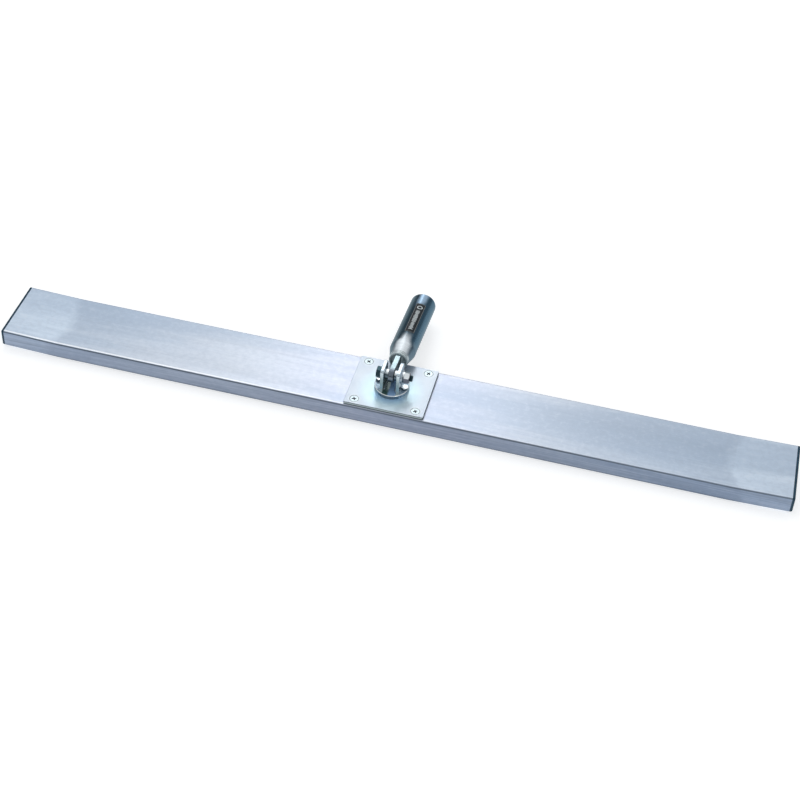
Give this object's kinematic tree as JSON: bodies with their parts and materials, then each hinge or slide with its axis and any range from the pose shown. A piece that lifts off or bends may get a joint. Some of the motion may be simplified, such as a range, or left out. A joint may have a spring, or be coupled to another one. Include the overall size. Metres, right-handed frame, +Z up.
{
  "type": "magnesium box float",
  "caption": "Long hollow rectangular magnesium float blade with dark end caps and a central clevis plate carrying a tilting tubular pole socket.",
  "frame": {"origin": "middle of the flat working face of the blade, at half length and half width", "axes": "+X along the blade, +Y to the rear, the side the pole socket leans to, +Z up out of the working face"},
  "size_m": [1.2198, 0.2536, 0.0795],
  "materials": {
    "magnesium": "satin mill finish, brushed along the length",
    "cap_plastic": "dark moulded plastic",
    "zinc_plate": "bright zinc plate",
    "zinc_steel": "zinc plated steel",
    "screw_steel": "zinc plated fastener",
    "dark_steel": "darker plated fastener",
    "weld_metal": "rough weld under zinc",
    "socket_steel": "bright plated tube",
    "brass_bush": "sintered bronze",
    "label_film": "black printed film"
  },
  "bodies": {
    "float_head": {"blade": "magnesium", "end_cap_left": "cap_plastic", "end_cap_right": "cap_plastic", "mounting_plate": "zinc_plate", "plate_screws": "screw_steel", "rivet_nuts": "zinc_steel", "clevis_disc": "zinc_steel", "clevis_ear_left": "zinc_steel", "clevis_ear_right": "zinc_steel", "ear_welds": "weld_metal", "clevis_screws": "dark_steel", "pivot_bolt": "dark_steel", "head_washer": "screw_steel", "nut_washer": "screw_steel", "spring_washer": "dark_steel", "pivot_nut": "dark_steel", "spacer_left": "zinc_steel", "spacer_right": "zinc_steel"},
    "pole_socket_arm": {"pivot_lug": "zinc_steel", "pivot_bush": "brass_bush", "handle_socket": "socket_steel", "neck_weld": "weld_metal", "socket_label": "label_film"}
  },
  "joints": [
    {"name": "socket_tilt", "type": "hinge", "parent": "float_head", "child": "pole_socket_arm", "pos_m": [0.0008, -0.005, 0.0635], "axis": [1, 0, 0], "range_deg": [-0.2, 193]}
  ]
}
